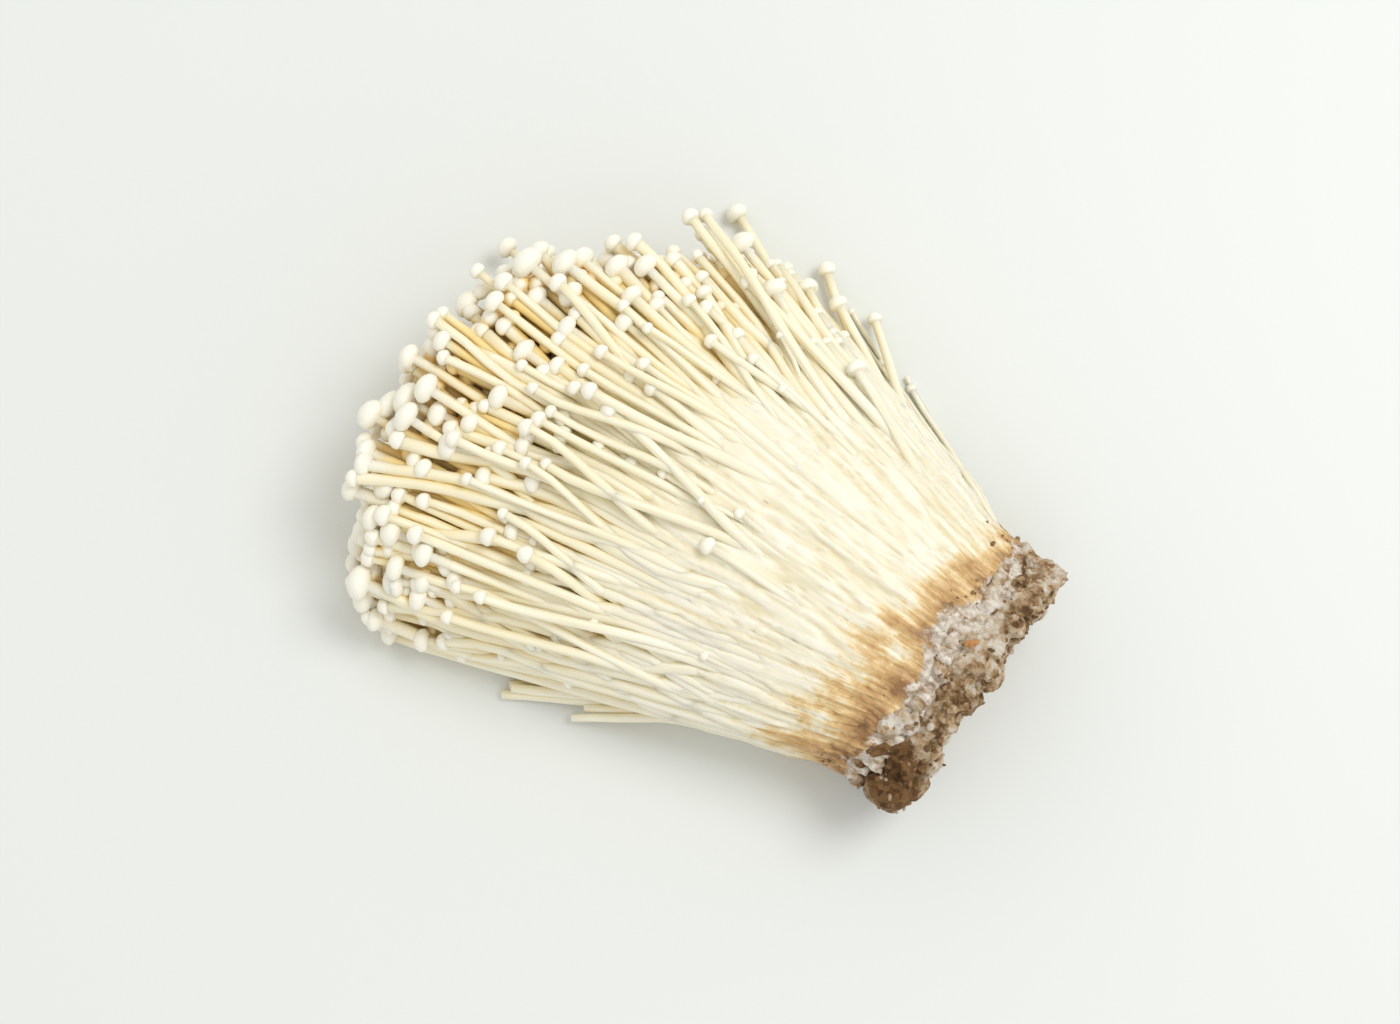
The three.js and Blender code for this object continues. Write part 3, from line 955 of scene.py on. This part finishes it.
def make_mushrooms(name, mushrooms, chance, sides=SIDES, ring_step=RING_STEP, nodes=()):
    bundle = bmesh.new()
    for mushroom in mushrooms:
        shape_mushroom(mushroom, bundle, chance, sides, ring_step)
    finish_piece(name, mesh_of(bundle, name), flesh, "mushroom_flesh", *nodes)


for mushroom in outer + strays + cut_stems:
    name = mushroom.node.replace("mushroom", "enoki").replace("cut_stem", "capless_stem")
    make_mushrooms(name, [mushroom], chance, nodes=[mushroom.node])

for first in range(0, len(filling), TUFT_SIZE):
    tuft = filling[first:first + TUFT_SIZE]
    name = f"tuft_{first // TUFT_SIZE + 1:02d}"
    make_mushrooms(name, tuft, chance, sides=10, ring_step=6 * MM, nodes=["fused_stem_clump"])

# ==== short and thin mushrooms round the outside ====================================
# Some mushrooms stayed short. Their caps sit on the backs of the long ones, a few lie across
# their neighbours, and tiny pins that never grew up stick to the fused mass. Hair-thin ones
# hang out along the -Y side, down to the surface, and snapped ones lie along the +Y side.

SHORT_CAPS = [  # mm from the plug's back, and the share of the half width, of the caps seen on top
    (121, 0.01), (109, -0.02), (111, 0.13), (96, -0.2), (83, -0.56), (65, -0.88), (102, -0.55),
    (114, 0.28), (116, 0.42), (105, 0.57), (105, 0.76), (103, 0.89), (76, 0.74), (95, -0.78),
    (110, -0.1), (83, 0.04), (66, 0.21), (123, 0.33), (126, -0.28), (118, 0.66), (112, -0.36),
]
CROSSING_COUNT = 15
PIN_COUNT = 5
STRAND_COUNT = 11
SNAPPED_STEMS = [  # which capless stem each of them lies beside, and how many mm inwards and up
    (1, 2.6, 0.4), (1, 5.1, 0.9), (0, 1.4, 2.1), (2, 2.5, 0.3),
]
RISE = 30 * MM  # along a lying stem, from its sunk root until it lies on the others
ROOT_SUNK = 5  # stem radii
PRESSED_IN = 0.3 * MM  # how far a stem settles into the ones it lies on

laid = list(everything)


def laid_on(y, room):
    """The height at every station of a stem that lies on the others along this line."""
    x = STATIONS[:, None]
    tips, stems, caps, partings = np.array([(m.tip_x, m.stem, m.cap, m.parting) for m in laid]).T
    radius = np.where(x < partings, 1.45, 1.05) * stems
    radius = np.where(abs(x - tips) < caps + STATION_STEP / 2, 0.8 * caps, radius)
    reach = np.where(x < tips + caps, radius + room, 0)
    aside = y[:, None] - np.array([m.y for m in laid]).T
    touching = np.array([m.z for m in laid]).T + np.sqrt(np.maximum(0, reach**2 - aside**2))
    height = np.where(abs(aside) < reach, touching, room).max(axis=1)
    highest = np.maximum(height, np.maximum(np.roll(height, 1), np.roll(height, -1)))
    return np.convolve(np.pad(highest, 2, "edge"), [0.1, 0.2, 0.4, 0.2, 0.1], "valid")


def lying_mushroom(root_x, root_p, tip_x, tip_p, stem, cap):
    """A mushroom that comes up out of the bunch at its root and lies on the others to its tip."""
    share = np.clip((STATIONS - root_x) / (tip_x - root_x), 0, 1.2)
    middle, half_width, _ = section(STATIONS)
    y = middle + half_width * blend(root_p, tip_p, share * share * (3 - 2 * share))
    sunk = 1 - np.clip((STATIONS - root_x) / RISE, 0, 1)
    z = laid_on(y, stem) - ROOT_SUNK * stem * sunk**1.5 - PRESSED_IN
    lying = Mushroom(y, z, tip_x, stem, cap)
    lying.parting = root_x + ROOT_HIDDEN
    laid.append(lying)
    return lying


def short_mushrooms(chance):
    for from_back, tip_p in SHORT_CAPS:
        tip_x = plug_low.x + from_back * MM
        root_x = max(plug_high.x + 14 * MM, tip_x - chance.uniform(30, 60) * MM)
        root_p = tip_p * chance.uniform(0.85, 1.05) + chance.gauss(0, 0.05)
        stem = chance.uniform(0.85, 1.2) * MM
        cap = stem * chance.uniform(1.5, 2.1)
        yield lying_mushroom(root_x, root_p, tip_x, tip_p, stem, cap)
    for _ in range(CROSSING_COUNT):
        root_x = plug_high.x + chance.uniform(22, 62) * MM
        tip_x = min(root_x + chance.uniform(24, 60) * MM, plug_low.x + chance.uniform(100, 118) * MM)
        root_p = chance.uniform(-0.75, 0.7)
        tip_p = max(-0.9, root_p + chance.choice((-1, 1)) * chance.uniform(0.06, 0.2))
        stem = chance.uniform(0.85, 1.2) * MM
        cap = stem * chance.uniform(1.3, 1.9)
        yield lying_mushroom(root_x, root_p, tip_x, tip_p, stem, cap)


def tiny_pins(chance):
    for _ in range(PIN_COUNT):
        root_x = plug_high.x + chance.uniform(8, 50) * MM
        tip_x = root_x + chance.uniform(10, 20) * MM
        root_p = chance.uniform(-0.8, 0.85)
        stem = chance.uniform(0.6, 0.8) * MM
        tip_p = root_p + chance.gauss(0, 0.05)
        cap = stem * chance.uniform(1.4, 1.8)
        yield lying_mushroom(root_x, root_p, tip_x, tip_p, stem, cap)


def snapped_stems(chance):
    for number, inward, up in SNAPPED_STEMS:
        beside = cut_stems[number]
        lifted = up * MM * ease(STATIONS, beside.parting, beside.tip_x)
        stem = beside.stem * chance.uniform(0.9, 1.1)
        tip_x = beside.tip_x + chance.uniform(-4, 1.5) * MM
        snapped = Mushroom(beside.y - inward * MM, beside.z + lifted, tip_x, stem, 0.0)
        snapped.parting = beside.parting
        yield snapped


def side_strands(chance):
    for _ in range(STRAND_COUNT):
        root_x = plug_high.x + chance.uniform(-2, 20) * MM
        tip_x = root_x + chance.uniform(20, 46) * MM
        share = np.clip((STATIONS - root_x) / (tip_x - root_x), 0, 1.2)
        root_y, root_z = across(STATIONS, -0.97, chance.uniform(-0.5, 0.2))
        out = chance.uniform(3, 11) * MM * share + 1.2 * MM * np.sin(chance.uniform(3, 6) * share)
        stem = chance.uniform(0.35, 0.75) * MM
        z = blend(np.maximum(root_z, stem), stem, ease(share, 0, chance.uniform(0.6, 1)))
        strand = Mushroom(root_y - out, z, tip_x, stem, stem * chance.choice((0, 1.5, 1.7)))
        strand.parting = root_x + ROOT_HIDDEN
        yield strand


chance = random.Random(31)
for kind, sides in ((short_mushrooms, 10), (tiny_pins, 8), (side_strands, 8), (snapped_stems, SIDES)):
    make_mushrooms(kind.__name__, list(kind(chance)), chance, sides=sides, nodes=["fused_stem_clump"])

# ==== the studio ====================================================================
# A plain pale floor in a bright room, under one large soft light from the right. The bunch is
# seen from nearly straight above.

BUNCH_TURN = math.radians(37.1)  # the bunch lies turned this far, its caps to the upper left
VIEW_HEIGHT = math.radians(82)
VIEW_DISTANCE = 600 * MM
VIEW_WIDTH = 311 * MM
FLOOR_HALF_WIDTH = 1.5
ROOM_BRIGHTNESS = 0.8
WINDOW_POWER = 13.2
WINDOW_WIDTH = 0.9

rightward = Vector((-math.cos(BUNCH_TURN), -math.sin(BUNCH_TURN), 0))
upward = Vector((math.sin(BUNCH_TURN), -math.cos(BUNCH_TURN), 0))
skyward = Vector((0, 0, 1))

bm = bmesh.new()
bmesh.ops.create_grid(bm, x_segments=1, y_segments=1, size=FLOOR_HALF_WIDTH)
floor = bpy.data.objects.new("floor", mesh_of(bm, "floor"))
bpy.context.scene.collection.objects.link(floor)
floor_paint, nodes, shader = new_finish("pale_floor")
shader.inputs["Base Color"].default_value = paint(227, 230, 225)
shader.inputs["Roughness"].default_value = 0.5
floor.data.materials.append(floor_paint)

world = bpy.data.worlds.new("bright_room")
world.use_nodes = True
surroundings = world.node_tree.nodes["Background"]
surroundings.inputs["Color"].default_value = (1.0, 1.0, 1.0, 1)
surroundings.inputs["Strength"].default_value = ROOM_BRIGHTNESS
bpy.context.scene.world = world

bunch_middle = Vector((0, 0, 15 * MM))
window_place = bunch_middle + 0.8 * rightward + 0.4 * upward + 1.6 * skyward
window_light = bpy.data.lights.new("window", "AREA")
window_light.shape = "DISK"
window_light.size = WINDOW_WIDTH
window_light.energy = WINDOW_POWER
window = bpy.data.objects.new("window", window_light)
window.location = window_place
window.rotation_euler = (bunch_middle - window_place).to_track_quat("-Z", "Y").to_euler()
bpy.context.scene.collection.objects.link(window)

camera_data = bpy.data.cameras.new("camera")
camera_data.lens = camera_data.sensor_width * VIEW_DISTANCE / VIEW_WIDTH
camera = bpy.data.objects.new("camera", camera_data)
back = math.sin(VIEW_HEIGHT) * skyward - math.cos(VIEW_HEIGHT) * upward
facing = Matrix((rightward, back.cross(rightward), back)).transposed().to_4x4()
camera.matrix_world = Matrix.Translation(bunch_middle + VIEW_DISTANCE * back) @ facing
bpy.context.scene.collection.objects.link(camera)
bpy.context.scene.camera = camera
bpy.context.scene.view_settings.view_transform = "Standard"
